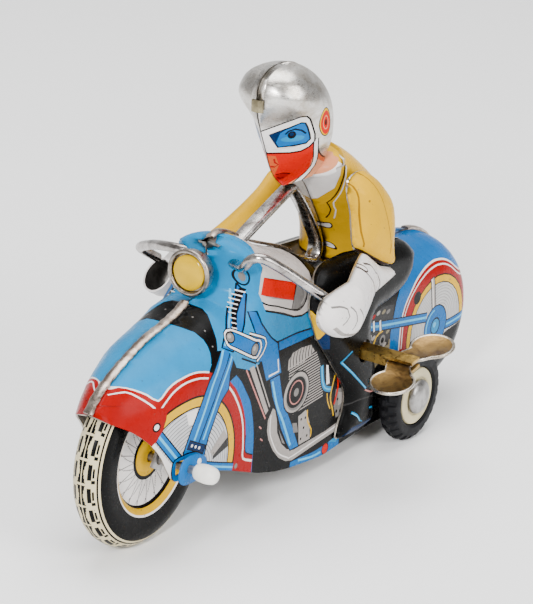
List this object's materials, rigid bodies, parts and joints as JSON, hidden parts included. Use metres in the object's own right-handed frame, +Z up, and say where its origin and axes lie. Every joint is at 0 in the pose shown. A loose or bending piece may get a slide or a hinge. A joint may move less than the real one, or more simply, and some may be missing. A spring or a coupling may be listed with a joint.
{
  "type": "wind-up tin motorcycle",
  "caption": "Lithographed tin motorcycle with a seated rider, a steering front wheel, two drive wheels on a rear axle, and a spring motor wound by a side key.",
  "frame": {"origin": "bottom centre of the bounding box, on the ground", "axes": "+Z up, -Y forward, +X to the rider's left"},
  "size_m": [0.0698, 0.1699, 0.1118],
  "materials": {
    "printed_blue": "gloss",
    "printed_yellow": "gloss",
    "printed_black": "gloss",
    "printed_white": "gloss",
    "bright_tin": "polished",
    "tarnished_tin": "tarnished",
    "black_rubber": "matte",
    "cream_plastic": "satin",
    "ivory_plastic": "satin",
    "brass": "satin",
    "steel": "satin"
  },
  "bodies": {
    "frame": {"body_left_half": "printed_blue", "body_right_half": "printed_blue", "rider_left_half": "printed_yellow", "rider_right_half": "printed_yellow", "left_sleeve": "printed_yellow", "right_sleeve": "printed_yellow", "headlamp_lens": "printed_yellow", "left_leg": "printed_black", "right_leg": "printed_black", "left_glove": "printed_white", "right_glove": "printed_white", "head_left_half": "bright_tin", "head_right_half": "bright_tin", "handlebar": "bright_tin", "tank_loop": "bright_tin", "seam_strip_front": "tarnished_tin", "seam_strip_head": "tarnished_tin", "seam_strip_tank": "tarnished_tin", "seam_strip_rear": "tarnished_tin", "headlamp_shell": "tarnished_tin", "helmet_tab": "tarnished_tin", "steering_bracket": "steel", "motor_plate_left": "steel", "motor_plate_right": "steel", "motor_pillar_1": "steel", "motor_pillar_2": "steel", "motor_pillar_3": "steel", "mainspring": "steel"},
    "steering": {"front_fork": "steel"},
    "front_wheel_set": {"front_wheel": "black_rubber", "front_axle": "steel", "left_axle_knob": "ivory_plastic"},
    "drive_wheels": {"drive_axle": "steel", "left_tyre": "black_rubber", "right_tyre": "black_rubber", "left_hub": "cream_plastic", "right_hub": "cream_plastic", "left_hub_cap": "tarnished_tin", "right_hub_cap": "tarnished_tin", "drive_pinion": "steel"},
    "second_shaft": {"second_arbor": "steel", "second_gear": "brass", "second_pinion": "steel"},
    "winding": {"winding_arbor": "steel", "great_gear": "brass", "key_shaft": "brass", "key_wings": "tarnished_tin"}
  },
  "joints": [
    {"name": "steering_turn", "type": "hinge", "parent": "frame", "child": "steering", "pos_m": [-0.00455, -0.0611, 0.0239], "axis": [0, 0.506, 0.8625], "range_deg": [-4, 4]},
    {"name": "front_wheel_spin", "type": "hinge", "parent": "steering", "child": "front_wheel_set", "pos_m": [-0.00455, -0.0611, 0.0239], "axis": [1, 0, 0], "continuous": true},
    {"name": "winding_turn", "type": "hinge", "parent": "frame", "child": "winding", "pos_m": [-0.00455, 0.0139, 0.033], "axis": [1, 0, 0], "continuous": true},
    {"name": "second_shaft_spin", "type": "hinge", "parent": "frame", "child": "second_shaft", "pos_m": [-0.00455, 0.02914, 0.02315], "axis": [1, 0, 0], "continuous": true},
    {"name": "drive_wheels_spin", "type": "hinge", "parent": "frame", "child": "drive_wheels", "pos_m": [-0.00455, 0.0389, 0.0129], "axis": [1, 0, 0], "continuous": true}
  ],
  "couplings": [
    {"joint": "second_shaft_spin", "follows": "drive_wheels_spin", "ratio": -0.27273},
    {"joint": "winding_turn", "follows": "drive_wheels_spin", "ratio": 0.068182}
  ]
}
